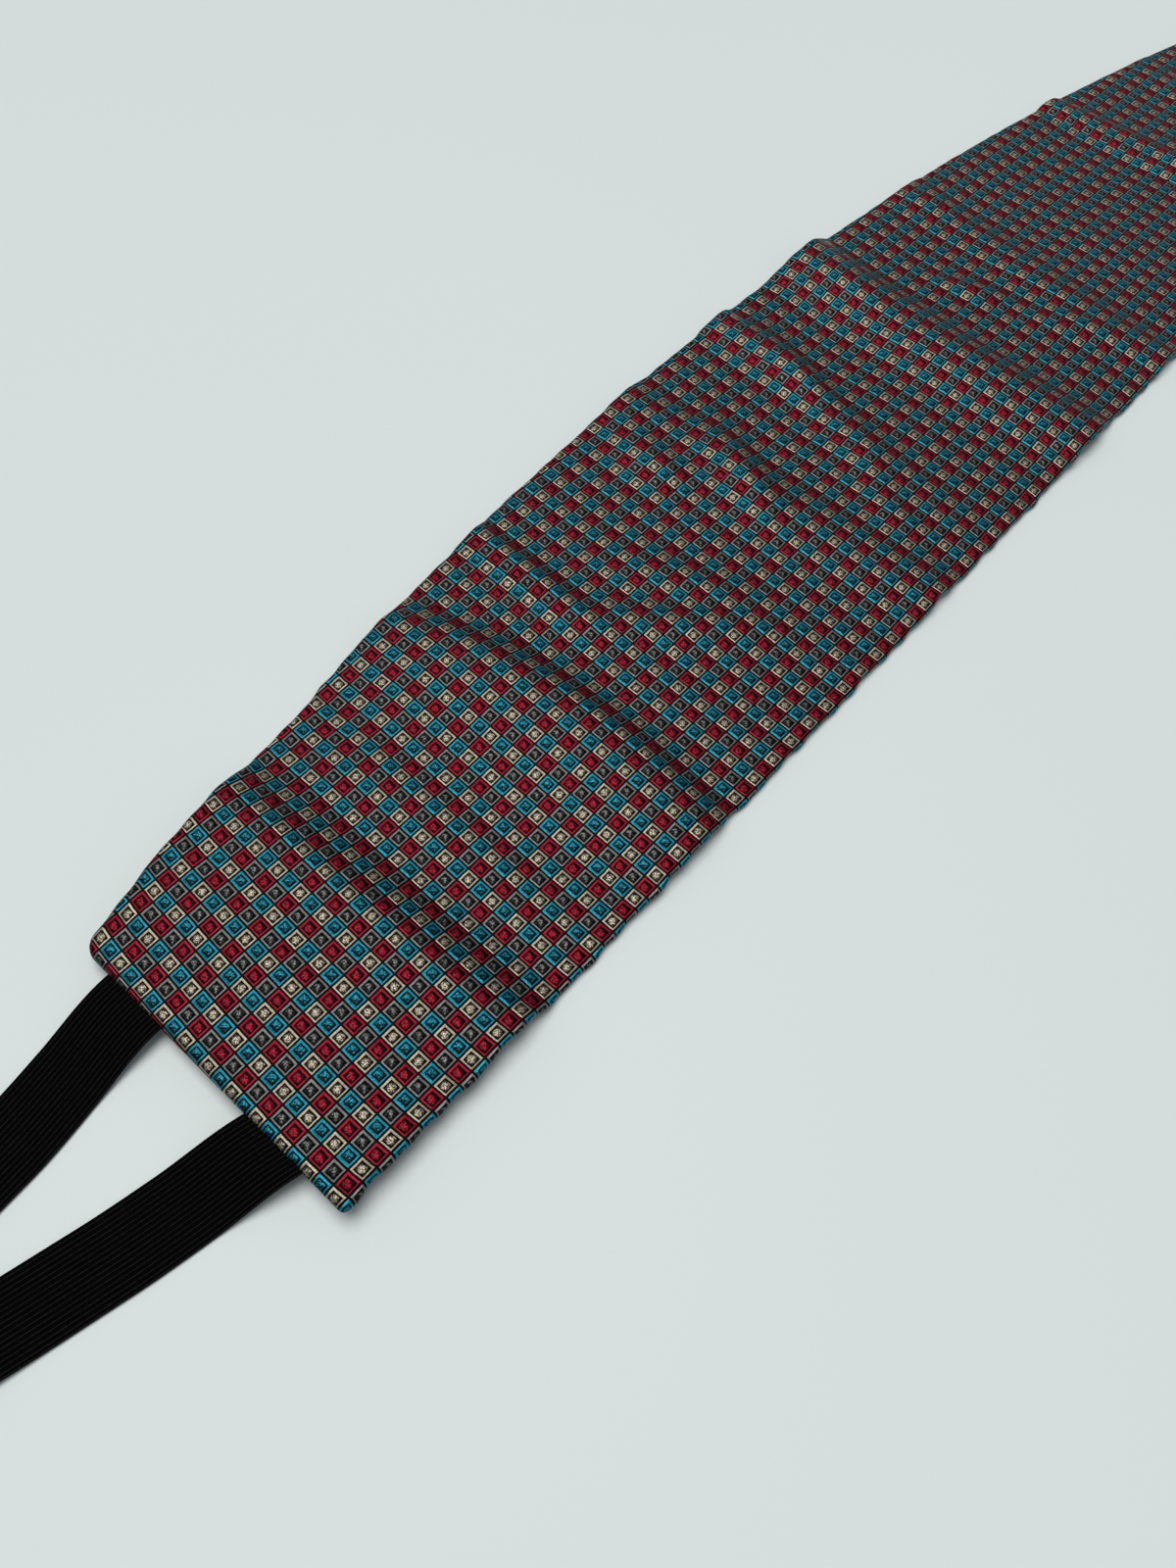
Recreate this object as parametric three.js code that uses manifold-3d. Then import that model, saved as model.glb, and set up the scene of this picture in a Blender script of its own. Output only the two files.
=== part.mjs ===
// A cummerbund that lies open on a table: a long woven panel with one straight and one arched edge,
// two elastic straps at each end, and a flat hook and eye that would join them behind the back.
// Millimetres. +X runs along the panel, +Y towards its arched edge, +Z up from the table.
// The origin is at the middle of the panel's length and width, on the table.

import * as THREE from 'three';
import { mergeVertices } from 'three/addons/utils/BufferGeometryUtils.js';
import Module from 'manifold-3d';

const wasm = await Module();
wasm.setup();

// Panel: doubled cloth, folded over at its edges
const PANEL_LENGTH = 640;
const CENTRE_WIDTH = 128;
const END_WIDTH = 91;
const CLOTH_THICKNESS = 2.4;

// Hem at each end, thicker because the straps are sewn in between its layers
const HEM_THICKNESS = 3.4;
const HEM_DEPTH = 16;
const HEM_TAPER = 20;

// Folds that run across the panel: the height of the tallest, and the reach that the others are shares of
const FOLD_HEIGHT = 6;
const FOLD_REACH = 36;

// Elastic straps
const STRAP_WIDTH = 19.5;
const STRAP_THICKNESS = 1;
const STRAP_SEWN_LENGTH = 12;
const STRAP_FREE_LENGTH = 83;
const STRAP_DROP_LENGTH = 22;
const UPPER_STRAP_INSET = 11.5;
const LOWER_STRAP_INSET = 12.5;

// Clasp: a folded metal grip over the strap ends, a tapering plate, and a hook or an eye
const CLASP_OFFSET = 6;
const GRIP_DEPTH = 8;
const GRIP_WALL = 0.7;
const GRIP_RIM = 2;
const STRAP_WEB = 1.4;
const PLATE_THICKNESS = 1.2;
const PLATE_TAPER = 12;
const TONGUE_WIDTH = 12;
const TONGUE_LENGTH = 8;
const HOOK_GAP = 2;
const HOOK_RETURN = 6;
const EYE_PLAY = 2;
const EYE_RIM = 2.5;

// Gap that separate pieces keep to each other
const CLEARANCE = 0.3;

// Steps of the faceted surfaces
const PANEL_STEPS_ALONG = 128;
const PANEL_STEPS_ACROSS = 12;
const EDGE_ROLL_STEPS = 3;
const STRAP_STEPS = 24;
const ARC_STEPS = 6;

// Each fold is a ridge that runs from the straight (low) edge to the arched (high) edge. Crest is its place
// along the panel, as a share of half the length, and height a share of FOLD_HEIGHT, each at both edges and
// halfway. Before and after are how far the ridge reaches to either side, as shares of FOLD_REACH.
const FOLDS = [
  { name: 'lifted end', before: 1, after: 2.4,
    crest: { low: -1, mid: -1, high: -1 }, height: { low: 0.7, mid: 0.45, high: 0.3 } },
  { name: 'first crease', before: 1.65, after: 0.6,
    crest: { low: -0.835, mid: -0.838, high: -0.844 }, height: { low: 0.73, mid: 0.7, high: 0.8 } },
  { name: 'second crease', before: 0.6, after: 0.62,
    crest: { low: -0.6, mid: -0.583, high: -0.634 }, height: { low: 0.34, mid: 0.56, high: 0.4 } },
  { name: 'pucker at the arched edge', before: 0.35, after: 0.33,
    crest: { low: -0.506, mid: -0.503, high: -0.5 }, height: { low: 0, mid: 0.05, high: 0.17 } },
  { name: 'soft swell', before: 0.85, after: 0.72,
    crest: { low: -0.238, mid: -0.256, high: -0.259 }, height: { low: 0.26, mid: 0.23, high: 0.37 } },
  { name: 'curved crease', before: 0.6, after: 0.44,
    crest: { low: -0.16, mid: -0.115, high: -0.088 }, height: { low: 0, mid: 0.22, high: 0.45 } },
  { name: 'main fold', before: 0.85, after: 0.95,
    crest: { low: 0.06, mid: 0.061, high: 0.074 }, height: { low: 0.6, mid: 0.64, high: 0.85 } },
  { name: 'slanting ripple', before: 0.62, after: 0.6,
    crest: { low: 0.234, mid: 0.254, high: 0.276 }, height: { low: 0.34, mid: 0.26, high: 0.2 } },
  { name: 'crease past the middle', before: 0.45, after: 0.42,
    crest: { low: 0.584, mid: 0.588, high: 0.594 }, height: { low: 0.25, mid: 0.38, high: 0.55 } },
];

// Sizes that follow
const halfLength = PANEL_LENGTH / 2;
const lowEdge = -CENTRE_WIDTH / 2;
const cornerRise = CENTRE_WIDTH - END_WIDTH;
const archRadius = (halfLength ** 2 + cornerRise ** 2) / (2 * cornerRise);
const upperStrapY = lowEdge + END_WIDTH - UPPER_STRAP_INSET - STRAP_WIDTH / 2;
const lowerStrapY = lowEdge + LOWER_STRAP_INSET + STRAP_WIDTH / 2;
const claspY = (upperStrapY + lowerStrapY) / 2 + CLASP_OFFSET;
const claspPitch = STRAP_WIDTH + STRAP_WEB;
const strapEndX = halfLength + STRAP_FREE_LENGTH;
const gripMouthX = strapEndX - GRIP_DEPTH;
const gripBackX = strapEndX + CLEARANCE + GRIP_WALL;
const gripWidth = claspPitch + STRAP_WIDTH + 2 * GRIP_RIM;
const gripHeight = STRAP_THICKNESS + 2 * (CLEARANCE + GRIP_WALL);

// The arched edge is one arc of a circle through both corners and the middle
function highEdge(x) {
  const reach = Math.min(Math.abs(x), halfLength);
  return lowEdge + CENTRE_WIDTH - archRadius + Math.sqrt(archRadius ** 2 - reach ** 2);
}

// A smooth curve through its low, mid and high value at the shares 0, one half and 1
function throughThree({ low, mid, high }, share) {
  const linear = low + (high - low) * share;
  const bow = 4 * (mid - (low + high) / 2) * share * (1 - share);
  return linear + bow;
}

// Height of the panel's underside over the table
function lift(x, y) {
  const share = THREE.MathUtils.clamp((y - lowEdge) / (highEdge(x) - lowEdge), 0, 1);
  let height = 0;
  for (const fold of FOLDS) {
    const crest = throughThree(fold.crest, share) * halfLength;
    const top = throughThree(fold.height, share) * FOLD_HEIGHT;
    const reach = (x < crest ? fold.before : fold.after) * FOLD_REACH;
    const away = Math.min(Math.abs(x - crest) / reach, 1);
    height += top * (1 + Math.cos(Math.PI * away)) / 2;
  }
  return height;
}

function panelThickness(x) {
  const hemStart = halfLength - HEM_DEPTH;
  const share = THREE.MathUtils.smoothstep(Math.abs(x), hemStart - HEM_TAPER, hemStart);
  return THREE.MathUtils.lerp(CLOTH_THICKNESS, HEM_THICKNESS, share);
}

// A unit box, cut into steps and with its corners shared, whose points are moved by a function of their
// place along (-1 to 1), across (-1 to 1) and through (-1 to 1) the piece
function bentBox(alongSteps, acrossSteps, throughSteps, place) {
  const box = weld(new THREE.BoxGeometry(2, 2, 2, alongSteps, acrossSteps, throughSteps));
  const points = box.getAttribute('position');
  for (let index = 0; index < points.count; index += 1) {
    const [x, y, z] = place(points.getX(index), points.getY(index), points.getZ(index));
    points.setXYZ(index, x, y, z);
  }
  return box;
}

function weld(geometry) {
  geometry.deleteAttribute('normal');
  geometry.deleteAttribute('uv');
  return mergeVertices(geometry);
}

function solid(geometry) {
  const welded = weld(geometry);
  return new wasm.Manifold(new wasm.Mesh({
    numProp: 3,
    vertProperties: new Float32Array(welded.getAttribute('position').array),
    triVerts: new Uint32Array(welded.getIndex().array),
  }));
}

function surface(manifold) {
  const mesh = manifold.getMesh();
  const geometry = new THREE.BufferGeometry();
  geometry.setAttribute('position', new THREE.BufferAttribute(mesh.vertProperties, 3));
  geometry.setIndex(new THREE.BufferAttribute(mesh.triVerts, 1));
  return geometry;
}

function piece(name, geometry, color, roughness, metalness) {
  geometry.computeVertexNormals();
  const mesh = new THREE.Mesh(geometry, new THREE.MeshStandardMaterial({ color, roughness, metalness }));
  mesh.name = name;
  return mesh;
}

// The panel's sides and ends are rolled to a half round, as folded cloth is
function panelPoint(along, across, through) {
  const rough = along * halfLength;
  const radius = panelThickness(rough) / 2;
  const turn = through * Math.PI / 2;
  const inset = radius * (1 - Math.cos(turn));
  const x = along * (halfLength - inset);
  const y = THREE.MathUtils.mapLinear(across, -1, 1, lowEdge + inset, highEdge(x) - inset);
  return [x, y, lift(x, y) + radius * (1 + Math.sin(turn))];
}

// A strap's middle height: between the layers of the hem, then down to the table, then up to the grip
function strapHeight(outward, side, y) {
  const seam = lift(side * Math.min(outward, halfLength), y) + HEM_THICKNESS / 2;
  const drop = THREE.MathUtils.smoothstep(outward, halfLength, halfLength + STRAP_DROP_LENGTH);
  const rise = THREE.MathUtils.smoothstep(outward, gripMouthX - STRAP_DROP_LENGTH, gripMouthX);
  const laid = THREE.MathUtils.lerp(STRAP_THICKNESS / 2, gripHeight / 2, rise);
  return THREE.MathUtils.lerp(seam, laid, drop);
}

// A strap, or with grow the room that it needs. side is -1 at the near end and 1 at the far end.
function strapGeometry(side, seamY, gripY, grow) {
  const start = halfLength - STRAP_SEWN_LENGTH - grow;
  const end = strapEndX + grow;
  return bentBox(STRAP_STEPS, 1, 1, (along, across, through) => {
    const outward = THREE.MathUtils.mapLinear(along * side, -1, 1, start, end);
    const middle = THREE.MathUtils.mapLinear(outward, halfLength, strapEndX, seamY, gripY);
    const y = middle + across * (STRAP_WIDTH / 2 + grow);
    const z = strapHeight(outward, side, y) + through * (STRAP_THICKNESS / 2 + grow);
    return [side * outward, y, z];
  });
}

// A flat outline in X and Y, from z up by its depth
function plate(outline, z, depth) {
  const geometry = new THREE.ExtrudeGeometry(new THREE.Shape(outline), { depth, bevelEnabled: false });
  return solid(geometry.translate(0, 0, z));
}

// Grip and tapering plate, with x outward from the panel's middle
function claspBody() {
  const half = gripWidth / 2;
  const grip = plate([
    new THREE.Vector2(gripMouthX, -half),
    new THREE.Vector2(gripBackX, -half),
    new THREE.Vector2(gripBackX, half),
    new THREE.Vector2(gripMouthX, half),
  ], 0, gripHeight);
  const taper = plate([
    new THREE.Vector2(gripBackX - GRIP_WALL / 2, -half),
    new THREE.Vector2(gripBackX, -half),
    new THREE.Vector2(gripBackX + PLATE_TAPER, -TONGUE_WIDTH / 2),
    new THREE.Vector2(gripBackX + PLATE_TAPER, TONGUE_WIDTH / 2),
    new THREE.Vector2(gripBackX, half),
    new THREE.Vector2(gripBackX - GRIP_WALL / 2, half),
  ], 0, PLATE_THICKNESS);
  return grip.add(taper);
}

// The tongue runs out flat, turns back over itself in a half round and ends above the plate
function hookTongue() {
  const start = gripBackX + PLATE_TAPER - PLATE_THICKNESS;
  const bend = gripBackX + PLATE_TAPER + TONGUE_LENGTH;
  const inner = HOOK_GAP / 2;
  const outer = inner + PLATE_THICKNESS;
  const profile = new THREE.Shape();
  profile.moveTo(start, 0);
  profile.lineTo(bend, 0);
  profile.absarc(bend, outer, outer, -Math.PI / 2, Math.PI / 2, false);
  profile.lineTo(bend - HOOK_RETURN, 2 * outer);
  profile.lineTo(bend - HOOK_RETURN, 2 * outer - PLATE_THICKNESS);
  profile.absarc(bend, outer, inner, Math.PI / 2, -Math.PI / 2, true);
  profile.lineTo(start, PLATE_THICKNESS);
  const options = { depth: TONGUE_WIDTH, bevelEnabled: false, curveSegments: ARC_STEPS };
  const geometry = new THREE.ExtrudeGeometry(profile, options);
  geometry.translate(0, 0, -TONGUE_WIDTH / 2);
  geometry.rotateX(Math.PI / 2);
  return solid(geometry);
}

// A flat loop that the hook goes through, as wide as the hook with some play
function eyeLoop() {
  const start = gripBackX + PLATE_TAPER - PLATE_THICKNESS;
  const slotHalf = (TONGUE_WIDTH + EYE_PLAY) / 2;
  const slotLength = HOOK_GAP + 2 * PLATE_THICKNESS + EYE_PLAY;
  const half = slotHalf + EYE_RIM;
  const slotStart = start + EYE_RIM;
  const rim = plate([
    new THREE.Vector2(start, -half),
    new THREE.Vector2(slotStart + slotLength + EYE_RIM, -half),
    new THREE.Vector2(slotStart + slotLength + EYE_RIM, half),
    new THREE.Vector2(start, half),
  ], 0, PLATE_THICKNESS);
  const slot = plate([
    new THREE.Vector2(slotStart, -slotHalf),
    new THREE.Vector2(slotStart + slotLength, -slotHalf),
    new THREE.Vector2(slotStart + slotLength, slotHalf),
    new THREE.Vector2(slotStart, slotHalf),
  ], -PLATE_THICKNESS, 3 * PLATE_THICKNESS);
  return { rim, slot };
}

const WEAVE_COLOR = 0x4a3f42;
const ELASTIC_COLOR = 0x0b0b0c;
const METAL_COLOR = 0xa7a7a5;

const cummerbund = new THREE.Group();
let panel = solid(bentBox(PANEL_STEPS_ALONG, PANEL_STEPS_ACROSS, EDGE_ROLL_STEPS, panelPoint));
const straps = [
  { name: 'upper', seamY: upperStrapY, gripY: claspY + claspPitch / 2 },
  { name: 'lower', seamY: lowerStrapY, gripY: claspY - claspPitch / 2 },
];
const ends = [
  { name: 'near', side: -1 },
  { name: 'far', side: 1 },
];
const eye = eyeLoop();
const claspShapes = {
  near: claspBody().add(hookTongue()),
  far: claspBody().add(eye.rim).subtract(eye.slot),
};
const claspNames = { near: 'hook_clasp', far: 'eye_clasp' };

for (const end of ends) {
  const turn = end.side < 0 ? 180 : 0;
  let clasp = claspShapes[end.name].rotate([0, 0, turn]).translate([0, claspY, 0]);
  for (const strap of straps) {
    const body = strapGeometry(end.side, strap.seamY, strap.gripY, 0);
    const room = solid(strapGeometry(end.side, strap.seamY, strap.gripY, CLEARANCE));
    panel = panel.subtract(room);
    clasp = clasp.subtract(room);
    cummerbund.add(piece(`strap_${end.name}_${strap.name}`, body, ELASTIC_COLOR, 0.85, 0));
  }
  cummerbund.add(piece(claspNames[end.name], surface(clasp), METAL_COLOR, 0.35, 1));
}
cummerbund.add(piece('front_panel', surface(panel), WEAVE_COLOR, 0.7, 0));

export default cummerbund;
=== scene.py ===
# %% [markdown]
# A cummerbund in a small-check weave
#
# A cummerbund is a sash worn round the waist. This one is a long panel of patterned cloth,
# straight along one edge and arched along the other, with two elastic straps at each end. It lies
# open on a pale table. The solid model sets every size and place. This lesson dresses it: cloth
# with folds and puckers, ribbed elastic, plated metal, and the table, the light and the camera.

# %% Load the solid model
import math

import bmesh
import bpy
import numpy as np
from mathutils import Matrix, Vector


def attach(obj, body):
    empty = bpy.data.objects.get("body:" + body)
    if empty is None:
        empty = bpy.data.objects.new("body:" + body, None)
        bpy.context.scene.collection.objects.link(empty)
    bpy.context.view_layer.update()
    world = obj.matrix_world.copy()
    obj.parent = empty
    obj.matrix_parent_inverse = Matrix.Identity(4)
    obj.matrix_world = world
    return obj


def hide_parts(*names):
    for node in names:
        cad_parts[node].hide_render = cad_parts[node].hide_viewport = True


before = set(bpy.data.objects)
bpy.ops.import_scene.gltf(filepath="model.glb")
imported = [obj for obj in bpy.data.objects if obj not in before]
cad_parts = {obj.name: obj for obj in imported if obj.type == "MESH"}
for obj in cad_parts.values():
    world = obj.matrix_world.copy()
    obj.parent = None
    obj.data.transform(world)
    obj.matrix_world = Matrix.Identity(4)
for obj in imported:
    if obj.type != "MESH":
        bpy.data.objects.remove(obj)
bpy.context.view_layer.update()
MM = 0.001
print("solid pieces:", ", ".join(sorted(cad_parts)))

# %% [markdown]
# Two small helpers serve every material below. Colours are written as sRGB hex values, as screens
# and dye charts give them, while Blender's sockets want linear light, so one function turns the
# first into the second. The other adds a shader node. Names in lower case set the node up, and
# values go into its sockets in order or by the socket's name. It hands back the node's first
# output, ready for the next one.

# %% Helpers for colours and nodes
def linear(hex_colour):
    values = [int(hex_colour[place:place + 2], 16) / 255 for place in (1, 3, 5)]
    light = [v / 12.92 if v <= 0.04045 else ((v + 0.055) / 1.055) ** 2.4 for v in values]
    return tuple(light) + (1.0,)


def add(tree, kind, *values, **settings):
    node = tree.nodes.new("ShaderNode" + kind)
    for name in filter(str.islower, settings):
        setattr(node, name, settings[name])
    sockets = [socket for socket in node.inputs if socket.enabled]
    by_name = [(socket, settings[socket.name]) for socket in sockets if socket.name in settings]
    for socket, value in list(zip(sockets, values)) + by_name:
        if isinstance(value, bpy.types.NodeSocket):
            tree.links.new(value, socket)
        else:
            socket.default_value = value
    outputs = [socket for socket in node.outputs if socket.enabled]
    return outputs[0] if outputs else None


def new_material(name):
    material = bpy.data.materials.new(name)
    material.use_nodes = True
    material.node_tree.nodes.clear()
    return material, material.node_tree


print("mid grey in linear light:", round(linear("#808080")[0], 3))

# %% [markdown]
# The camera comes first, because every later choice is judged through it. The picture was taken
# by hand with a wide phone lens, from above the near end and looking along the sash, with the
# phone turned a little. A point on the table to look at, and a roll about the line of sight, say
# that more plainly than three angles.

# %% Camera
CAMERA_PLACE = Vector((-334.3, -116.8, 274.8)) * MM
LOOK_AT = Vector((-200.2, -28.5, 0)) * MM
CAMERA_ROLL = math.radians(9.45)
PHONE_LENS = 27.05
FULL_FRAME = 36


def aim(thing, place, target, roll=0.0):
    turn = (target - place).to_track_quat("-Z", "Y").to_matrix().to_4x4()
    thing.matrix_world = Matrix.Translation(place) @ turn @ Matrix.Rotation(roll, 4, "Z")


camera = bpy.data.objects.new("camera", bpy.data.cameras.new("camera"))
camera.data.lens = PHONE_LENS
camera.data.sensor_width = FULL_FRAME
camera.data.clip_start = 0.01
bpy.context.scene.collection.objects.link(camera)
bpy.context.scene.camera = camera
aim(camera, CAMERA_PLACE, LOOK_AT, CAMERA_ROLL)
tilt = math.degrees((CAMERA_PLACE - LOOK_AT).angle(Vector((0, 0, 1))))
print(f"camera {CAMERA_PLACE.z / MM:.0f} mm over the table, {tilt:.1f} degrees off straight down")

# %% [markdown]
# The table is a smooth white laminate, and a wide plane with a matt, faintly cool surface stands
# in for it. The light is one big softbox high over the arched edge. Silk shows folds by its
# lustre: a slope that tips its sheen towards the eye is bright, and one that tips it away falls
# dark. A lamp of the sun kind with a wide disc gives that light evenly over the whole table, and
# a pale room fills the shadows.

# %% Table
FLOOR_SIZE = 6.0
FLOOR_DROP = 0.15 * MM
laminate, tree = new_material("white_laminate_matt")
# A laminate sheet is near to one colour. The slow mottle is what a room's reflections leave on it.
place = add(tree, "TexCoord").node.outputs["Object"]
mottle = add(tree, "TexNoise", place, Scale=2.5, Detail=1.0)
tone = add(tree, "Mix", mottle, linear("#E4EDEC"), linear("#E0E9E7"), data_type="RGBA")
shader = add(tree, "BsdfPrincipled", tone, Roughness=0.55, IOR=1.5,
             **{"Specular IOR Level": 0.3})
add(tree, "OutputMaterial", shader)

half = FLOOR_SIZE / 2
floor_mesh = bpy.data.meshes.new("table_top")
corners = [(-half, -half), (half, -half), (half, half), (-half, half)]
floor_mesh.from_pydata([(x, y, -FLOOR_DROP) for x, y in corners], [], [(0, 1, 2, 3)])
floor_mesh.materials.append(laminate)
floor = bpy.data.objects.new("table_top", floor_mesh)
bpy.context.scene.collection.objects.link(floor)
print("table:", FLOOR_SIZE, "m square")

# %% Light
SOFTBOX_BEARING = math.radians(78)
SOFTBOX_HEIGHT = math.radians(75)
SOFTBOX_STRENGTH = 1.98
SOFTBOX_WIDTH = math.radians(45)
ROOM_STRENGTH = 0.29

softbox = bpy.data.objects.new("softbox", bpy.data.lights.new("softbox", "SUN"))
softbox.data.energy = SOFTBOX_STRENGTH
softbox.data.angle = SOFTBOX_WIDTH
softbox.data.color = linear("#FFFDFA")[:3]
bpy.context.scene.collection.objects.link(softbox)
toward = Vector((math.cos(SOFTBOX_BEARING), math.sin(SOFTBOX_BEARING), math.tan(SOFTBOX_HEIGHT)))
aim(softbox, toward, Vector())

world = bpy.data.worlds.new("room")
world.use_nodes = True
world.node_tree.nodes["Background"].inputs["Color"].default_value = linear("#F4F8FF")
world.node_tree.nodes["Background"].inputs["Strength"].default_value = ROOM_STRENGTH
bpy.context.scene.world = world
bpy.context.scene.view_settings.view_transform = "Standard"
print("softbox", round(math.degrees(SOFTBOX_HEIGHT)), "degrees up,",
      round(math.degrees(SOFTBOX_WIDTH)), "wide")

# %% [markdown]
# The panel's outline and main folds come from the solid model, so its named sizes are repeated
# here in millimetres. X runs along the panel, Y across it towards the arched edge, and Z up from
# the table. Each fold is a smooth ridge from the straight edge to the arched edge. Its row gives
# how far its slopes reach, and where its crest lies and how high it stands at the straight edge,
# halfway across, and at the arched edge. Four of the nine rows differ a little from the solid's:
# they were tuned to how the light falls on the cloth.

# %% Outline and folds of the panel
HALF_LENGTH = 320
LOW_EDGE = -64
CENTRE_WIDTH = 128
END_WIDTH = 91
CLOTH_THICKNESS = 2.4
HEM_THICKNESS = 3.4
HEM_DEPTH = 16
HEM_TAPER = 20
FOLD_HEIGHT = 6
FOLD_REACH = 36
# Cloth breaks over a crest, so both slopes are steeper than a plain wave's.
RISE_END, FALL_START, FALL_END = 0.75, 0.05, 0.55
FOLDS = [
    # reach before and after the crest as shares of FOLD_REACH, then at three places across:
    # the crest as shares of HALF_LENGTH, and its height as shares of FOLD_HEIGHT
    (1.0, 2.4, (-1, -1, -1), (0.7, 0.45, 0.3)),
    (1.8, 1.05, (-0.838, -0.847, -0.858), (0.73, 0.8, 0.85)),
    (1.4, 0.7, (-0.604, -0.59, -0.638), (0.45, 0.7, 0.42)),
    (0.35, 0.33, (-0.506, -0.503, -0.5), (0, 0.05, 0.17)),
    (0.85, 0.72, (-0.238, -0.256, -0.259), (0.26, 0.23, 0.37)),
    (0.6, 0.44, (-0.16, -0.115, -0.088), (0, 0.22, 0.45)),
    (1.05, 0.85, (0.06, 0.061, 0.074), (0.62, 0.7, 0.88)),
    (0.62, 0.6, (0.234, 0.254, 0.276), (0.34, 0.26, 0.2)),
    (0.4, 0.42, (0.584, 0.584, 0.576), (0.25, 0.32, 0.4)),
]


def high_edge(x):
    rise = CENTRE_WIDTH - END_WIDTH
    radius = (HALF_LENGTH ** 2 + rise ** 2) / (2 * rise)
    reach = np.minimum(np.abs(x), HALF_LENGTH)
    return LOW_EDGE + CENTRE_WIDTH - radius + np.sqrt(radius ** 2 - reach ** 2)


def through_three(three, share):
    low, mid, high = three
    return low + (high - low) * share + 4 * (mid - (low + high) / 2) * share * (1 - share)


def ridge(away):
    return (1 + np.cos(np.pi * np.clip(away, -1, 1))) / 2


def lift(x, y):
    share = np.clip((y - LOW_EDGE) / (high_edge(x) - LOW_EDGE), 0, 1)
    height = np.zeros(np.broadcast(x, y).shape)
    for before, after, crests, heights in FOLDS:
        crest = through_three(crests, share) * HALF_LENGTH
        rising = (crest - x) / (before * FOLD_REACH) / RISE_END
        falling = ((x - crest) / (after * FOLD_REACH) - FALL_START) / (FALL_END - FALL_START)
        away = np.where(x < crest, rising, np.maximum(falling, 0))
        height += through_three(heights, share) * FOLD_HEIGHT * ridge(away)
    return height


def smooth(value, start, end):
    share = np.clip((value - start) / (end - start), 0, 1)
    return share * share * (3 - 2 * share)


def thickness(x):
    hem_start = HALF_LENGTH - HEM_DEPTH
    share = smooth(np.abs(x), hem_start - HEM_TAPER, hem_start)
    return CLOTH_THICKNESS + (HEM_THICKNESS - CLOTH_THICKNESS) * share


width_at_end = high_edge(HALF_LENGTH) - LOW_EDGE
print(f"panel {2 * HALF_LENGTH} by {CENTRE_WIDTH} mm, {width_at_end:.0f} mm wide at its ends")

# %% [markdown]
# Between the main folds the real cloth is never quite smooth. Short swells cross it at odd
# slants, each with a slow near slope and a quick far one. The seam along each long edge was sewn
# a little tight, so the cloth beside it stands in small puckers that die out within a finger's
# width. Sums of a few sine waves of different lengths give puckers that look unplanned and come
# out the same each time. The arched edge also stands a little proud of the cloth beside it,
# except round one place near the end, where it was pressed thin.

# %% Swells and puckers
PUCKER_DEPTH = 9
PUCKER_HEIGHT = 0.65
PUCKER_SLANT = 0.35
SWELL_SHARE = 1.35
EDGE_RISE = 0.5
NEAR_EDGE_RISE = -1.9
NEAR_EDGE_PLACE, NEAR_EDGE_REACH = -232, 62
EDGE_RISE_DEPTH = 28
PUCKER_WAVES = [(8.7, 0.3), (12.9, 1.9), (21.5, 4.4), (37.0, 2.2)]
SWELLS = [
    # in mm: x and y of the middle, length across, slant of the crest (a share), reach before
    # and after it, height
    (-292, 0, 110, 0.0, 14, 10, 0.4),
    (-237, -5, 150, 0.0, 16, 10, 0.5),
    (-161, 30, 70, 0.0, 13, 10, 1.4),
    (-142, -12, 76, -0.75, 18, 12, 1.1),
    (-128, -5, 76, -0.3, 15, 12, 0.9),
    (-98, 36, 46, 0.1, 15, 10, 1.6),
    (-79, 16, 70, 0.4, 12, 13, 1.9),
    (-58, -33, 42, 0.3, 12, 9, 0.7),
    (-44, -12, 40, 0.5, 14, 9, 0.7),
    (-28, 32, 64, 0.25, 14, 10, 2.1),
    (20, 40, 56, 0.1, 9, 8, 0.7),
    (55, 8, 38, -0.3, 9, 7, 1.2),
    (67, -30, 50, -0.3, 14, 10, 1.0),
    (89, 44, 34, 0.0, 8, 8, 0.5),
    (120, -5, 120, 0.1, 12, 10, 0.3),
    (180, 0, 130, 0.0, 7, 5, 0.7),
    (191, 0, 130, 0.0, 8, 8, 1.2),
    (238, 10, 100, 0.3, 16, 12, 1.0),
    (276, -14, 84, -0.3, 14, 10, 0.8),
]


def waves(x, shift):
    total = sum(np.sin(2 * np.pi * x / length + phase * shift) for length, phase in PUCKER_WAVES)
    return total / len(PUCKER_WAVES)


def fade(from_edge):
    return np.exp(-np.maximum(from_edge, 0) / PUCKER_DEPTH)


def detail(x, y):
    from_low = y - LOW_EDGE
    from_high = high_edge(x) - y
    low = waves(x + PUCKER_SLANT * from_low, 1) * fade(from_low)
    high = waves(x + PUCKER_SLANT * from_high, 2) * fade(from_high)
    rise = EDGE_RISE + NEAR_EDGE_RISE * ridge((x - NEAR_EDGE_PLACE) / NEAR_EDGE_REACH)
    height = PUCKER_HEIGHT * (low + high) + rise * (1 - smooth(from_high, 0, EDGE_RISE_DEPTH))
    for middle_x, middle_y, across, slant, before, after, top in SWELLS:
        away = x - middle_x - slant * (y - middle_y)
        slope = ridge(np.where(away < 0, -away / before, away / after))
        height += SWELL_SHARE * top * slope * ridge(2 * (y - middle_y) / across)
    return height


print("puckers up to", PUCKER_HEIGHT, "mm high, and", len(SWELLS), "swells")
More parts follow.
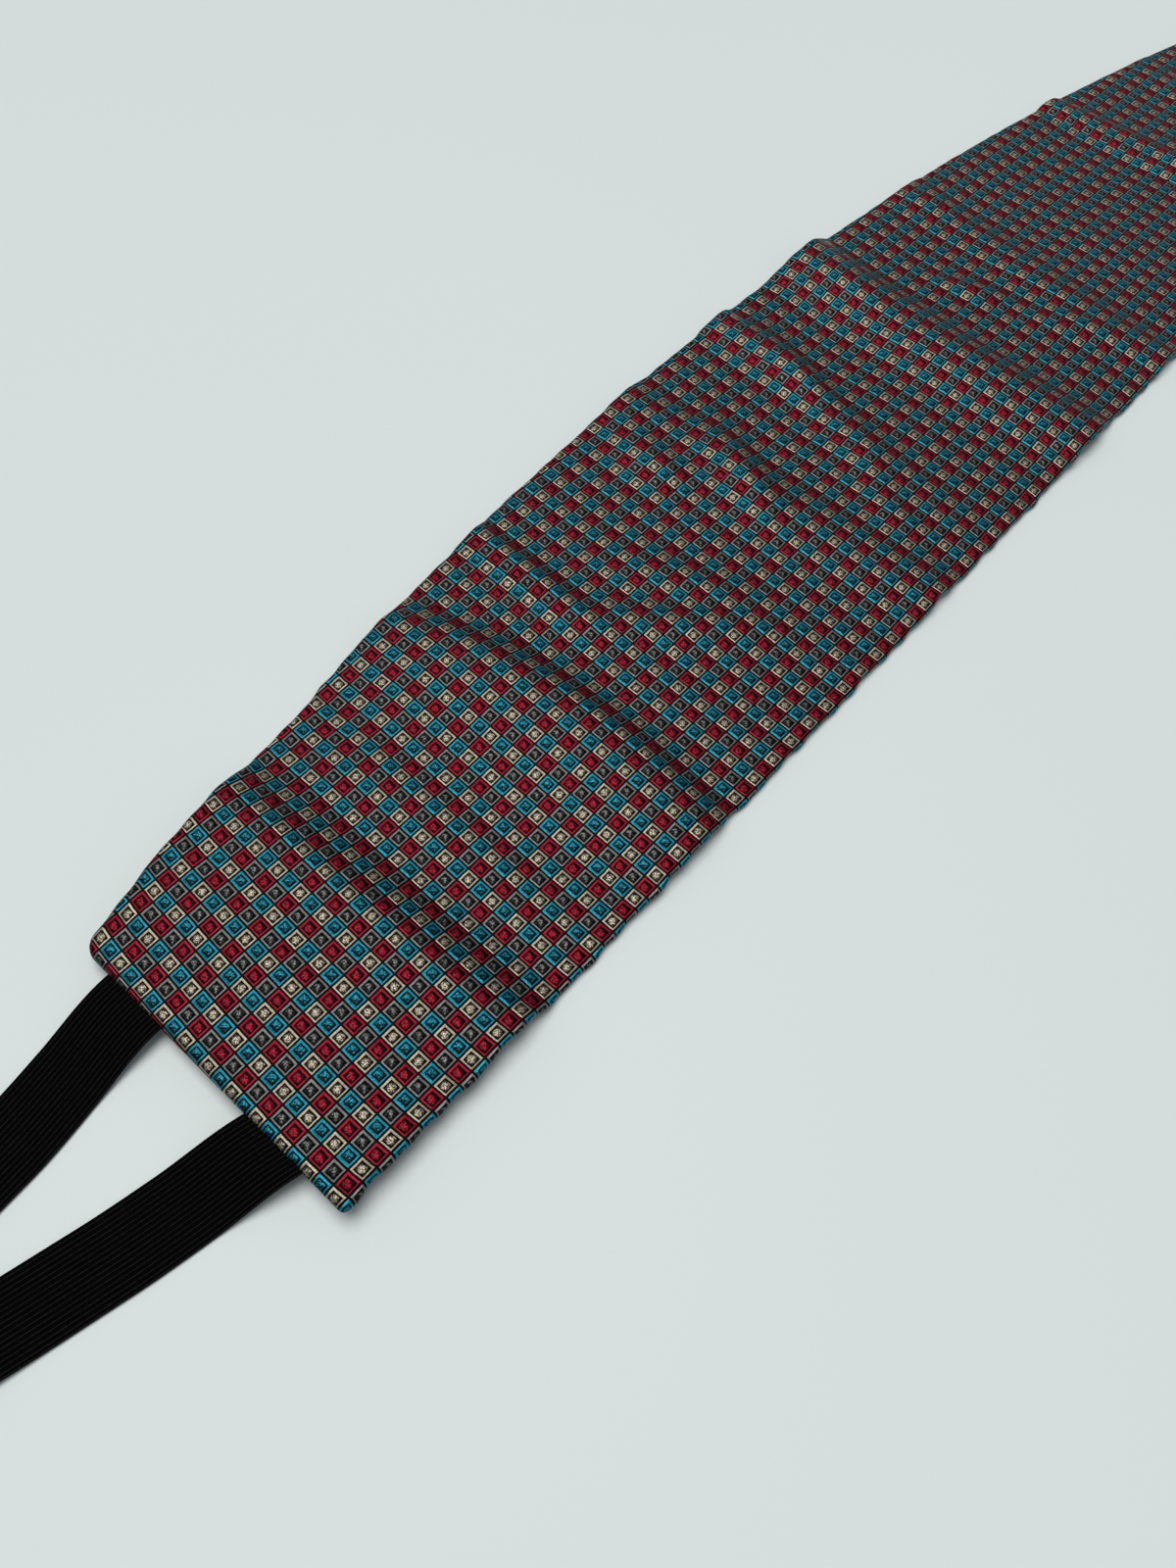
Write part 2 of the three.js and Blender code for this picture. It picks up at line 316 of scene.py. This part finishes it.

# %% [markdown]
# The panel is a flat tube of cloth, so its mesh is one closed skin: a row of rings, each running
# under the panel, round the straight edge, over the top, round the arched edge and back. Lofting
# the rings keeps every crest where the solid has it, and lets the pattern follow the cloth: a
# UV map holds the distance along the cloth in millimetres, both ways, with its seam along the
# middle of the back, where a real one is sewn.

# %% Loft helper
def loft(name, rings, cloth_map, material):
    count, size = rings.shape[:2]
    index = np.arange(count * size).reshape(count, size)
    after = np.roll(index, -1, axis=1)
    quads = np.stack([index[:-1], after[:-1], after[1:], index[1:]], axis=-1).reshape(-1, 4)
    caps = [index[0][::-1].tolist(), index[-1].tolist()]
    mesh = bpy.data.meshes.new(name)
    mesh.from_pydata((rings.reshape(-1, 3) * MM).tolist(), [], quads.tolist() + caps)
    corner = np.stack([cloth_map[:-1, :-1], cloth_map[:-1, 1:],
                       cloth_map[1:, 1:], cloth_map[1:, :-1]], axis=2)
    ends = [cloth_map[0, -2::-1], cloth_map[-1, :-1]]
    layer = mesh.uv_layers.new(name="cloth_mm")
    layer.data.foreach_set("uv", np.concatenate([corner.reshape(-1, 2), *ends]).ravel())
    work = bmesh.new()
    work.from_mesh(mesh)
    bmesh.ops.triangulate(work, faces=[face for face in work.faces if len(face.verts) > 4])
    bmesh.ops.recalc_face_normals(work, faces=work.faces)
    work.to_mesh(mesh)
    work.free()
    mesh.shade_smooth()
    mesh.materials.append(material)
    piece = bpy.data.objects.new(name, mesh)
    bpy.context.scene.collection.objects.link(piece)
    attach(piece, "root")
    return piece


# %% Shape of the panel
RING_STEP = 1.08
TOP_POINTS = 92
BACK_POINTS = 23
EDGE_POINTS = 7
END_TURNS = 4
LOW_CORNER = 1.5
HIGH_CORNER = 4
EDGE_PULL = 1.3
PRESSED_MOST = 1.5
UNDERSIDE_SHARE = 0.8
FIRST_TURN = 0.08
LOWEST_POINT = 0.02


def corner(x, size):
    into = np.clip(np.abs(x) - (HALF_LENGTH - size), 0, size)
    return size - np.sqrt(size ** 2 - into ** 2)


def pulled_in(x, shift):
    return EDGE_PULL * (1 + waves(x, shift)) / 2


back = np.linspace(0, 1, BACK_POINTS)
edge = np.linspace(-0.5, 0.5, EDGE_POINTS + 2)[1:-1] * np.pi
across = np.concatenate([-back, -np.ones(EDGE_POINTS), np.linspace(-1, 1, TOP_POINTS),
                         np.ones(EDGE_POINTS), 1 - back[:-1]])
turn = np.concatenate([np.full(BACK_POINTS, -np.pi / 2), edge, np.full(TOP_POINTS, np.pi / 2),
                       -edge, np.full(BACK_POINTS - 1, -np.pi / 2)])

radius_end = HEM_THICKNESS / 2
flat_end = HALF_LENGTH - radius_end
steps = int(round(2 * flat_end / RING_STEP))
end_turn = np.linspace(FIRST_TURN, 1, END_TURNS, endpoint=False) * np.pi / 2
station = np.concatenate([-HALF_LENGTH + radius_end * (1 - np.cos(end_turn)),
                          np.linspace(-flat_end, flat_end, steps + 1),
                          (HALF_LENGTH - radius_end * (1 - np.cos(end_turn)))[::-1]])
fullness = np.concatenate([np.sin(end_turn), np.ones(steps + 1), np.sin(end_turn)[::-1]])

x = station[:, None] * np.ones(len(across))
radius = thickness(x) / 2
inset = radius * (1 - np.cos(turn))
low = LOW_EDGE + inset + corner(x, LOW_CORNER) + pulled_in(x, 1)
high = high_edge(x) - inset - corner(x, HIGH_CORNER) - pulled_in(x, 2)
y = low + (high - low) * (across + 1) / 2
bulge = fullness[:, None] * np.sin(turn)
fine = detail(x, y)
# Where the fine relief dips, the cloth is pressed thinner. Where it rises, the underside
# follows only in part.
pressed = radius + np.clip(fine, -PRESSED_MOST, 0) / 2
raised = np.maximum(fine, 0) * np.where(bulge > 0, 1, UNDERSIDE_SHARE * (1 + bulge))
z = lift(x, y) + pressed * (1 + bulge) + raised
z = np.maximum(z, LOWEST_POINT)
print("panel rings:", len(station), "points each:", len(across))
print("highest point of the cloth:", round(float(z.max()), 2), "mm")

# %% [markdown]
# The cloth is a jacquard: coloured silk floats over a black ground. Its small repeat has four
# squares, teal, cream, grey and red. A weaver charts such a design on point paper, one mark for a
# thread, and so does this step: twelve by twelve threads a square, with the straight edge of the
# sash at the bottom. A dot is black ground, a dash is a float half covered, o is a plain float,
# and # is a float that stands proud, drawn in a lighter tint as a painted highlight.

# %% Draft of the four squares
THREADS = 12
MARKS = ".-o#"
DRAFTS = {
    "teal": """
        .ooooooooooo
        .ooooooooooo
        .oo......-oo
        .oo.ooo#o.oo
        .oo.-oo#o.oo
        .oo.--ooo.oo
        .oo.-.-oo.oo
        .oo.-o-oo.oo
        .oo.-----.oo
        .oo......-oo
        .ooooooooooo
        ............""",
    "cream": """
        .ooooooooooo
        .ooooooooooo
        .o........oo
        .o.--oo--.oo
        .o.-oo#o-.oo
        .o.oo##oo.oo
        .o.oo#ooo.oo
        .o.-ooo-o.oo
        .o.--o--..oo
        .o........oo
        .ooooooooooo
        ............""",
    "grey": """
        .ooooooooooo
        .ooooooooooo
        .o........oo
        .o.--oo-..oo
        .o.-.-oo-.oo
        .o..-ooo-.oo
        .o.--oo--.oo
        .o.-o--.-.oo
        .o.--.-...oo
        .o........oo
        .ooooooooooo
        ............""",
    "red": """
        .ooooooooooo
        .ooooooooooo
        .o........oo
        .o.-oooo-.oo
        .o.oo#oo-.oo
        .o.ooooo-.oo
        .o.o#oo--.oo
        .o.-ooo--.oo
        .o.-oo--..oo
        .o........oo
        .ooooooooooo
        ............""",
}


def row_number(marks):
    number = 0
    for mark in marks:
        number = number * len(MARKS) + MARKS.index(mark)
    return number


drafts = {name: [row_number(row) for row in draft.split()] for name, draft in DRAFTS.items()}
covered = {name: 1 - draft.count(".") / THREADS ** 2 for name, draft in DRAFTS.items()}
for name, share in covered.items():
    print(f"{name}: {share:.0%} of the square is silk, the rest is bare ground")

# %% [markdown]
# Nodes have no table to look a thread up in, so each row of the draft becomes one number, with
# two bits for a thread. Rounding the place on the cloth gives the square, the thread's row and
# its column. Twelve compare nodes pick the row's number, and dividing by a power of four takes
# out the thread's mark. Odd and even squares choose the colour.

# %% Jacquard: where a point lies in its square
CHECK_ALONG = 4.257
CHECK_ACROSS = 4.229
CHECK_START = (-295.8, -21.6)
THREAD_WANDER = 0.05
WANDER_SCALE = 0.9
silk, tree = new_material("silk_jacquard_woven")
cloth_place = add(tree, "UVMap", uv_map="cloth_mm")
spot = add(tree, "SeparateXYZ", cloth_place).node.outputs
along = add(tree, "Math", spot["X"], 1 / CHECK_ALONG, -CHECK_START[0] / CHECK_ALONG,
            operation="MULTIPLY_ADD")
aside = add(tree, "Math", spot["Y"], 1 / CHECK_ACROSS, -CHECK_START[1] / CHECK_ACROSS,
            operation="MULTIPLY_ADD")
# Threads aren't ruled lines: each wanders by a small part of a square.
wander = add(tree, "TexNoise", cloth_place, Scale=WANDER_SCALE, Detail=2.0)
along = add(tree, "Math", wander, THREAD_WANDER, along, operation="MULTIPLY_ADD")
aside = add(tree, "Math", wander, THREAD_WANDER, aside, operation="MULTIPLY_ADD")
column = add(tree, "Math", along, operation="ROUND")
row = add(tree, "Math", aside, operation="ROUND")
du = add(tree, "Math", column, along, operation="SUBTRACT")
dv = add(tree, "Math", row, aside, operation="SUBTRACT")
odd_column = add(tree, "Math", column, 2, operation="FLOORED_MODULO")
odd_row = add(tree, "Math", row, 2, operation="FLOORED_MODULO")
off_u = add(tree, "Math", du, operation="ABSOLUTE")
off_v = add(tree, "Math", dv, operation="ABSOLUTE")
edge_share = add(tree, "Math", off_u, off_v, operation="MAXIMUM")
print("one square is", CHECK_ALONG, "by", CHECK_ACROSS, "mm")

# %% Jacquard: the thread's mark
# Just under a half, so that the last thread stays in its own square.
HALF_SQUARE = 0.4999
SQUARE_EDGE = 0.45
thread_column = add(tree, "Math", du, THREADS, THREADS * HALF_SQUARE, operation="MULTIPLY_ADD")
thread_column = add(tree, "Math", thread_column, operation="FLOOR")
thread_row = add(tree, "Math", dv, THREADS, THREADS * HALF_SQUARE, operation="MULTIPLY_ADD")
thread_row = add(tree, "Math", thread_row, operation="FLOOR")
totals = dict.fromkeys(drafts, 0.0)
for number in range(THREADS):
    here = add(tree, "Math", thread_row, number, 0.5, operation="COMPARE")
    for name, rows in drafts.items():
        totals[name] = add(tree, "Math", here, rows[number], totals[name], operation="MULTIPLY_ADD")
even_rows = add(tree, "Mix", odd_row, totals["teal"], totals["cream"])
odd_rows = add(tree, "Mix", odd_row, totals["grey"], totals["red"])
packed = add(tree, "Mix", odd_column, even_rows, odd_rows)
# Half a unit more keeps the division below from rounding down past a whole number.
packed = add(tree, "Math", packed, 0.5, operation="ADD")
weight = add(tree, "Math", len(MARKS), thread_column, operation="POWER")
mark = add(tree, "Math", packed, weight, operation="DIVIDE")
mark = add(tree, "Math", mark, operation="FLOOR")
mark = add(tree, "Math", mark, len(MARKS), operation="FLOORED_MODULO")
# The black ground between two squares is a thread and a half wide.
in_square = add(tree, "Math", edge_share, SQUARE_EDGE, operation="LESS_THAN")
mark = add(tree, "Math", mark, in_square, operation="MULTIPLY")
print("threads of", round(CHECK_ALONG / THREADS, 2), "mm")

# %% [markdown]
# Silk is a long smooth filament with a strong coloured lustre, more like satin metal than like
# paint. A large metallic share in the shader puts that colour into its highlights, which is how
# satin looks. A real float also stands a little above the ground, and each square swells between
# its black outlines.

# %% Jacquard: colour, gloss and relief
PLAIN = {"teal": "#30A0BA", "cream": "#CCC0AA", "grey": "#8C8D8C", "red": "#AE2138"}
HALF_COVERED = {"teal": "#0F404C", "cream": "#5E5249", "grey": "#3E3E3D", "red": "#40121A"}
# Proud floats stand a little higher, and their lighter tints are a painted highlight.
PROUD_HIGHLIGHT = {"teal": "#44B2CC", "cream": "#E2D6C0", "grey": "#A4A4A0", "red": "#BC243C"}
GROUND = linear("#060404")
SHADE_STRETCH = (0.5, 3.3, 1)
SPECKLE_SCALE = 2.8
MIDDLE_REACH = 0.33
# Each range takes two noise values to two factors of the colour.
SHADE_RANGE = (0.3, 0.7, 0.66, 1.0)
FIRM_RANGE = (0.35, 0.65, 0.62, 1.05)
LOOSE_RANGE = (0.4, 0.6, 0.05, 0.95)
CUSHION_EDGE, CUSHION_TOP = 0.5, 0.1
CUSHION_HEIGHT, CORD_HEIGHT, FLOAT_HEIGHT = 0.34, 0.04, 0.012
SILK_METALLIC, SILK_ROUGHNESS, SILK_IOR, SILK_SPECULAR = 0.85, 0.5, 1.54, 0.25


def by_square(tints):
    even = add(tree, "Mix", odd_row, linear(tints["teal"]), linear(tints["cream"]), data_type="RGBA")
    odd = add(tree, "Mix", odd_row, linear(tints["grey"]), linear(tints["red"]), data_type="RGBA")
    return add(tree, "Mix", odd_column, even, odd, data_type="RGBA")


colour = GROUND
# The last level gives the proud floats their painted highlight.
for level, tints in enumerate((HALF_COVERED, PLAIN, PROUD_HIGHLIGHT)):
    reached = add(tree, "Math", mark, level + 0.5, operation="GREATER_THAN")
    colour = add(tree, "Mix", reached, colour, by_square(tints), data_type="RGBA")
# Dyed silk isn't even: its shade wanders along each thread.
stretch = add(tree, "VectorMath", cloth_place, SHADE_STRETCH, operation="MULTIPLY")
shade = add(tree, "MapRange", add(tree, "TexNoise", stretch, Scale=1.0, Detail=2.0), *SHADE_RANGE)
colour = add(tree, "Mix", 1, colour, shade, data_type="RGBA", blend_type="MULTIPLY")
# In the middle of a square short floats of colour and ground mix, so it is speckled. Its
# outline is firmer.
speckle = add(tree, "TexNoise", cloth_place, Scale=SPECKLE_SCALE, Detail=1.0)
in_middle = add(tree, "Math", edge_share, MIDDLE_REACH, operation="LESS_THAN")
firm = add(tree, "MapRange", speckle, *FIRM_RANGE)
loose = add(tree, "MapRange", speckle, *LOOSE_RANGE)
speckle = add(tree, "Mix", in_middle, firm, loose)
colour = add(tree, "Mix", 1, colour, speckle, data_type="RGBA", blend_type="MULTIPLY")

cushion = add(tree, "MapRange", edge_share, CUSHION_EDGE, CUSHION_TOP, 0, 1,
              interpolation_type="SMOOTHSTEP")
cord = add(tree, "Math", aside, THREADS, operation="MULTIPLY")
cord = add(tree, "Math", cord, 0.5, operation="PINGPONG")
relief = add(tree, "Math", cushion, CUSHION_HEIGHT, operation="MULTIPLY")
relief = add(tree, "Math", cord, CORD_HEIGHT, relief, operation="MULTIPLY_ADD")
relief = add(tree, "Math", mark, FLOAT_HEIGHT, relief, operation="MULTIPLY_ADD")
bump = add(tree, "Bump", Strength=1.0, Distance=MM, Height=relief)
shader = add(tree, "BsdfPrincipled", colour, SILK_METALLIC, SILK_ROUGHNESS, SILK_IOR,
             Normal=bump, **{"Specular IOR Level": SILK_SPECULAR})
add(tree, "OutputMaterial", shader)
print("jacquard nodes:", len(tree.nodes))

# %% [markdown]
# The straps come next, because the panel needs pockets where they are sewn in. Braided elastic is
# flat, with rubber cores that run lengthwise under black yarn, and they show as ribs. The ribs
# are real relief in the mesh, since they catch the light along the whole strap. Each strap is a
# loft of narrow sections that follows the height of the hem, drops to the table, and rises again
# into the clasp.

# %% Route of a strap
STRAP_WIDTH = 19.5
STRAP_THICKNESS = 1
STRAP_SEWN = 12
STRAP_END = 403
STRAP_DROP = 22
GRIP_MOUTH = 395
GRIP_HEIGHT = 3.0
SEAM_Y = {"upper": 5.75, "lower": -41.75}
GRIP_MIDDLE, GRIP_APART = -12, 20.9
GRIP_Y = {"upper": GRIP_MIDDLE + GRIP_APART / 2, "lower": GRIP_MIDDLE - GRIP_APART / 2}
BOW = {"upper": 2.1, "lower": 1.1}
BOW_PLACE, BOW_REACH = 328, 32


def strap_middle(outward, level):
    share = (outward - HALF_LENGTH) / (STRAP_END - HALF_LENGTH)
    bow = BOW[level] * ridge((outward - BOW_PLACE) / BOW_REACH)
    return SEAM_Y[level] + (GRIP_Y[level] - SEAM_Y[level]) * share + bow


def strap_height(outward, side, y):
    seam = lift(side * np.minimum(outward, HALF_LENGTH), y) + HEM_THICKNESS / 2
    drop = smooth(outward, HALF_LENGTH, HALF_LENGTH + STRAP_DROP)
    rise = smooth(outward, GRIP_MOUTH - STRAP_DROP, GRIP_MOUTH)
    laid = STRAP_THICKNESS / 2 + (GRIP_HEIGHT - STRAP_THICKNESS) / 2 * rise
    return seam + (laid - seam) * drop


def strap_rings(side, level, outward, section):
    aside, above = section
    outward = outward[:, None] * np.ones(len(aside))
    y = strap_middle(outward, level) + aside
    z = strap_height(outward, side, y) + above
    return np.stack([side * outward, y, z], axis=-1)


print("strap length from the hem:", STRAP_END - HALF_LENGTH, "mm")

# %% Section with ribs
RIBS = 16
RIB_DEPTH = 0.16
RIB_POINTS = 4
RIB_ROUNDNESS = 0.6
EDGE_TURNS = 3


def ribbed_section():
    share = np.linspace(-1, 1, RIBS * RIB_POINTS + 1)
    rib = np.abs(np.sin(np.pi * RIBS * (share + 1) / 2)) ** RIB_ROUNDNESS
    half_width = STRAP_WIDTH / 2 - STRAP_THICKNESS / 2
    half_high = STRAP_THICKNESS / 2 - RIB_DEPTH * (1 - rib)
    turn = np.linspace(np.pi / 2, -np.pi / 2, EDGE_TURNS + 2)[1:-1]
    round_out = np.cos(turn) * STRAP_THICKNESS / 2
    round_up = np.sin(turn) * (STRAP_THICKNESS / 2 - RIB_DEPTH)
    aside = np.concatenate([share * half_width, half_width + round_out, share[::-1] * half_width,
                            -half_width - round_out])
    above = np.concatenate([half_high, round_up, -half_high[::-1], -round_up])
    return aside, above


def ring_distance(rings):
    closed = np.concatenate([rings, rings[:, :1]], axis=1)
    steps = np.linalg.norm(np.diff(closed, axis=1), axis=-1)
    return np.concatenate([np.zeros((len(rings), 1)), np.cumsum(steps, axis=1)], axis=1)


def flat_distance(section, count):
    aside = np.append(section[0], section[0][0])
    return np.tile(np.concatenate([[0], np.cumsum(np.abs(np.diff(aside)))]), (count, 1))


def run_distance(rings):
    steps = np.linalg.norm(np.diff(rings, axis=0), axis=-1)
    run = np.concatenate([np.zeros((1, rings.shape[1])), np.cumsum(steps, axis=0)])
    return np.concatenate([run, run[:, :1]], axis=1)


print("ribs every", round(STRAP_WIDTH / RIBS, 2), "mm")

# %% Elastic material
# Polyester yarn braided over rubber: near black and matt, with a thin grey painted highlight
# along each rib crest, and faint stitches across it. The stitches are drawn 0.8 mm apart, about
# twice the real pitch, so that they show.
STITCH = 0.8
STITCH_SLANT, STITCH_TONE, STITCH_HEIGHT = 0.5, 0.08, 0.015
CREST_START, CREST_HEIGHT = 0.3, 0.12
HIGHLIGHT_FUZZ_RANGE = (0.35, 0.7, 0.4, 1.0)
elastic, tree = new_material("elastic_braided_black")
spot = add(tree, "UVMap", uv_map="cloth_mm")
spot = add(tree, "SeparateXYZ", spot).node.outputs
rib = add(tree, "Math", spot["Y"], RIBS / (STRAP_WIDTH - STRAP_THICKNESS), operation="MULTIPLY")
rib = add(tree, "Math", rib, 0.5, operation="PINGPONG")
crest = add(tree, "MapRange", rib, CREST_START, 0.5, 0, 1, interpolation_type="SMOOTHSTEP")
slant = add(tree, "Math", spot["Y"], STITCH_SLANT, spot["X"], operation="MULTIPLY_ADD")
stitch = add(tree, "Math", slant, 1 / STITCH, operation="MULTIPLY")
stitch = add(tree, "Math", stitch, 0.5, operation="PINGPONG")
highlight_fuzz = add(tree, "TexNoise", add(tree, "UVMap", uv_map="cloth_mm"), Scale=1.3, Detail=4.0)
highlight_fuzz = add(tree, "MapRange", highlight_fuzz, *HIGHLIGHT_FUZZ_RANGE)
# The rib crests are painted lighter grey, a painted highlight broken up by noise.
tone = add(tree, "Math", crest, highlight_fuzz, operation="MULTIPLY")
tone = add(tree, "Math", stitch, STITCH_TONE, tone, operation="MULTIPLY_ADD")
colour = add(tree, "Mix", tone, linear("#010101"), linear("#262626"), data_type="RGBA")
relief = add(tree, "Math", stitch, STITCH_HEIGHT, operation="MULTIPLY")
relief = add(tree, "Math", crest, CREST_HEIGHT, relief, operation="MULTIPLY_ADD")
bump = add(tree, "Bump", Strength=1.0, Distance=MM, Height=relief)
shader = add(tree, "BsdfPrincipled", colour, Roughness=0.65, IOR=1.5, Normal=bump,
             **{"Specular IOR Level": 0.02})
add(tree, "OutputMaterial", shader)
print("elastic nodes:", len(tree.nodes))

# %% Make the straps
SIDES = {"near": -1, "far": 1}
SECTION_STEP = 1.0
for end, side in SIDES.items():
    for level in SEAM_Y:
        outward = np.arange(HALF_LENGTH - STRAP_SEWN, STRAP_END + SECTION_STEP / 2, SECTION_STEP)
        rings = strap_rings(side, level, outward, ribbed_section())
        across_strap = flat_distance(ribbed_section(), len(rings))
        cloth_map = np.stack([run_distance(rings), across_strap], axis=-1)
        name = f"elastic_{end}_{level}"
        loft(name, rings, cloth_map, elastic)
        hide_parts(f"strap_{end}_{level}")

# %% [markdown]
# Now the panel itself. Its map comes from the mesh: distances between neighbouring points, added
# up along the cloth and round it, are what a tape laid on the cloth would read. The pockets for
# the straps are cut with a boolean, from copies of the straps' own route a little wider than the
# elastic.

# %% Make the panel
POCKET_PLAY = 0.3
POCKET_TURNS = 24
POCKET_PAST_HEM, POCKET_SECTIONS = 4, 8
# The map counts its millimetres from here, where the cloth lies flat.
FLAT_PLACE = -131
# Woven cloth is rarely quite square: its rows bow a little along the sash.
WEFT_BOW = 1.2
WEFT_BOW_PLACE, WEFT_BOW_REACH = -90, 220
rings = np.stack([x, y, z], axis=-1)
run = run_distance(rings)
run = run - run[np.argmin(np.abs(station - FLAT_PLACE))] + FLAT_PLACE
girth = ring_distance(rings)
start = BACK_POINTS + EDGE_POINTS
girth = girth - girth[:, start:start + 1] + y[:, start:start + 1]
girth = girth + WEFT_BOW * ridge((station[:, None] - WEFT_BOW_PLACE) / WEFT_BOW_REACH)
panel = loft("sash_panel", rings, np.stack([run, girth], axis=-1), silk)


def pocket_section():
    half_width, half_high = STRAP_WIDTH / 2 + POCKET_PLAY, STRAP_THICKNESS / 2 + POCKET_PLAY
    turn = np.linspace(0, 2 * np.pi, POCKET_TURNS, endpoint=False) + np.pi / POCKET_TURNS
    flat = half_width - half_high
    return flat * np.sign(np.cos(turn)) + half_high * np.cos(turn), half_high * np.sin(turn)


for end, side in SIDES.items():
    for level in SEAM_Y:
        outward = np.linspace(HALF_LENGTH - STRAP_SEWN - POCKET_PLAY,
                              HALF_LENGTH + POCKET_PAST_HEM, POCKET_SECTIONS)
        rings = strap_rings(side, level, outward, pocket_section())
        cloth_map = np.stack([run_distance(rings), ring_distance(rings)], axis=-1)
        cutter = loft("pocket_cutter", rings, cloth_map, silk)
        cut = panel.modifiers.new("pocket", "BOOLEAN")
        cut.object = cutter
        cut.operation = "DIFFERENCE"
        cut.solver = "EXACT"
        graph = bpy.context.evaluated_depsgraph_get()
        shaped = bpy.data.meshes.new_from_object(panel.evaluated_get(graph))
        panel.modifiers.clear()
        panel.data = shaped
        bpy.data.objects.remove(cutter)
triangles = sum(len(face.vertices) - 2 for face in panel.data.polygons)
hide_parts("front_panel")
print("panel triangles:", triangles)

# %% [markdown]
# The clasps are bent from sheet steel and nickel plated, with a satin finish from tumbling.

# %% Metal
# Nickel is a warm grey metal. The tumbled surface scatters highlights, a little unevenly.
GRAIN_SCALE = 900.0
GRAIN_DEPTH = 0.00002
GRAIN_ROUGHNESS = (0.3, 0.7, 0.28, 0.34)
nickel, tree = new_material("steel_nickel_plated_satin")
place = add(tree, "TexCoord").node.outputs["Object"]
grain = add(tree, "TexNoise", place, Scale=GRAIN_SCALE, Detail=3.0)
roughness = add(tree, "MapRange", grain, *GRAIN_ROUGHNESS)
colour = add(tree, "Mix", grain, linear("#C2BDB5"), linear("#C8C4BC"), data_type="RGBA")
bump = add(tree, "Bump", Strength=0.1, Distance=GRAIN_DEPTH, Height=grain)
shader = add(tree, "BsdfPrincipled", colour, 1.0, roughness, Normal=bump)
add(tree, "OutputMaterial", shader)
for name in ("hook_clasp", "eye_clasp"):
    for slot in bpy.data.objects[name].material_slots:
        slot.material = nickel
print("metal nodes:", len(tree.nodes))
